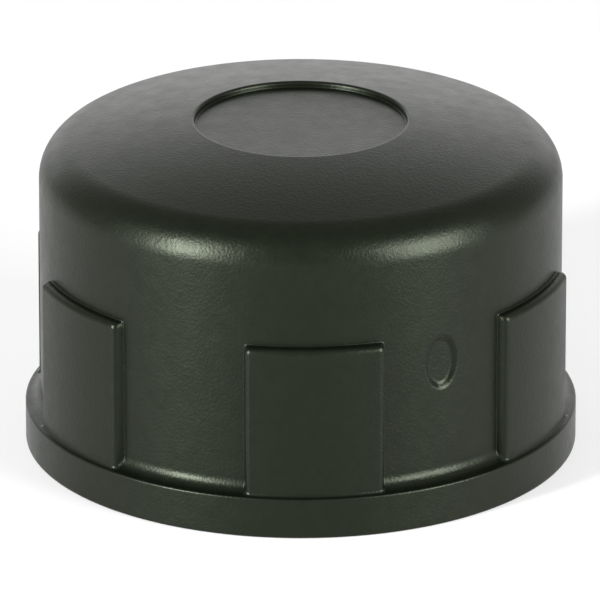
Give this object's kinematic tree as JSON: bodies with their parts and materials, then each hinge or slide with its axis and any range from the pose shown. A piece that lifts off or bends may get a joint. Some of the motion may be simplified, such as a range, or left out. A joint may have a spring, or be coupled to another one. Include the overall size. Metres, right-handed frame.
{
  "type": "threaded protection cap",
  "caption": "Black moulded screw cap with a domed closed end, a round central recess, grip pads on its wall, a flanged rim and a coarse internal thread.",
  "frame": {"origin": "centre of the open rim, on the plane that the cap stands on", "axes": "+Z along the cap's axis from the mouth to the crown; a grip pad is centred on -Y"},
  "size_m": [0.07, 0.07, 0.0428],
  "materials": {
    "cap_plastic": "satin moulded black polypropylene"
  },
  "bodies": {
    "root": {"threaded_cap": "cap_plastic"}
  },
  "joints": []
}
